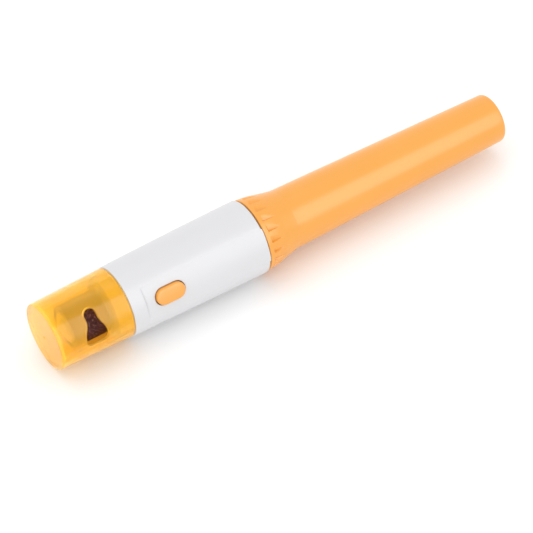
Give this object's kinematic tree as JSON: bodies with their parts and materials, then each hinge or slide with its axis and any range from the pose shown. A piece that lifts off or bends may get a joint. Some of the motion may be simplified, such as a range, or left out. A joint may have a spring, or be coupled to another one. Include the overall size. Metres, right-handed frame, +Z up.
{
  "type": "battery pet nail grinder",
  "caption": "Pen-shaped battery nail grinder for pets: sanding drum under a clear windowed guard, white motor barrel with push button, orange battery handle.",
  "frame": {"origin": "under the middle of the grinder, on the level of the barrel's lowest line as it lies", "axes": "+X along the grinder's axis from the guard to the tail, +Z up, button rolled 61 degrees from +Z towards -Y"},
  "size_m": [0.2, 0.0296, 0.0295],
  "materials": {
    "amber_clear_plastic": "clear tinted plastic, polished",
    "white_plastic": "moulded, satin gloss",
    "orange_plastic": "moulded, satin gloss",
    "grey_plastic": "moulded",
    "black_plastic": "moulded",
    "black_rubber": "matt",
    "brown_abrasive": "aluminium oxide grit on cloth",
    "plated_steel": "bright plating",
    "lamination_steel": "stacked laminations",
    "ferrite": "sintered ferrite",
    "copper": "enamelled winding and bare segments",
    "sintered_bronze": "porous oiled bronze",
    "spring_steel": "nickel plated",
    "cell_jacket": "printed shrink film, plain",
    "red_insulation": "smooth insulation",
    "black_insulation": "smooth insulation"
  },
  "bodies": {
    "housing": {"barrel": "white_plastic", "switch_body": "black_plastic", "switch_terminal_1": "spring_steel", "switch_terminal_2": "spring_steel", "motor_can": "plated_steel", "motor_end_cap": "white_plastic", "motor_front_bush": "sintered_bronze", "motor_rear_bush": "sintered_bronze", "motor_magnet_1": "ferrite", "motor_magnet_2": "ferrite", "motor_brush_1": "copper", "motor_brush_2": "copper", "motor_terminal_1": "spring_steel", "motor_terminal_2": "spring_steel", "motor_screw_1": "plated_steel", "motor_screw_2": "plated_steel", "chassis": "grey_plastic", "front_contact": "spring_steel", "barrel_contact_ring": "spring_steel", "lead_motor_to_switch": "red_insulation", "lead_switch_to_contact": "red_insulation", "lead_motor_to_ring": "black_insulation"},
    "guard": {"guard": "amber_clear_plastic"},
    "rotor": {"motor_shaft": "plated_steel", "armature": "lamination_steel", "armature_coil_head": "copper", "commutator": "copper", "drum_hub": "grey_plastic", "drum_sleeve": "black_rubber", "drum_washer": "plated_steel", "drum_screw": "plated_steel"},
    "band": {"sanding_band": "brown_abrasive"},
    "button": {"button": "orange_plastic"},
    "plunger": {"switch_plunger": "white_plastic"},
    "cells": {"battery_cell_1": "cell_jacket", "battery_cell_2": "cell_jacket"},
    "tail_spring": {"tail_spring": "spring_steel"},
    "handle": {"handle": "orange_plastic", "contact_strip": "spring_steel", "tail_contact_plate": "spring_steel"}
  },
  "joints": [
    {"name": "guard_pull", "type": "slide", "parent": "housing", "child": "guard", "axis": [-1, 0, 0], "range_m": [0, 0.036]},
    {"name": "drum_spin", "type": "hinge", "parent": "housing", "child": "rotor", "pos_m": [0, 0, 0.01477], "axis": [1, 0, 0], "continuous": true},
    {"name": "band_change", "type": "slide", "parent": "rotor", "child": "band", "axis": [-1, 0, 0], "range_m": [0, 0.018]},
    {"name": "button_press", "type": "slide", "parent": "housing", "child": "button", "axis": [0, 0.8746, -0.4848], "range_m": [0, 0.0015], "stiffness_N_per_m": 400},
    {"name": "plunger_press", "type": "slide", "parent": "housing", "child": "plunger", "axis": [0, 0.8746, -0.4848], "range_m": [0, 0.0015]},
    {"name": "handle_pull", "type": "slide", "parent": "housing", "child": "cells", "axis": [1, 0, 0], "range_m": [0, 0.105]},
    {"name": "thread_travel", "type": "slide", "parent": "cells", "child": "tail_spring", "axis": [1, 0, 0], "range_m": [0, 0.0051]},
    {"name": "handle_turn", "type": "hinge", "parent": "tail_spring", "child": "handle", "pos_m": [0, 0, 0.01477], "axis": [1, 0, 0], "range_deg": [0, 720]}
  ],
  "couplings": [
    {"joint": "band_change", "follows": "guard_pull", "ratio": 0.5},
    {"joint": "plunger_press", "follows": "button_press", "ratio": 1},
    {"joint": "thread_travel", "follows": "handle_turn", "m_per_rad": 0.00039789}
  ]
}
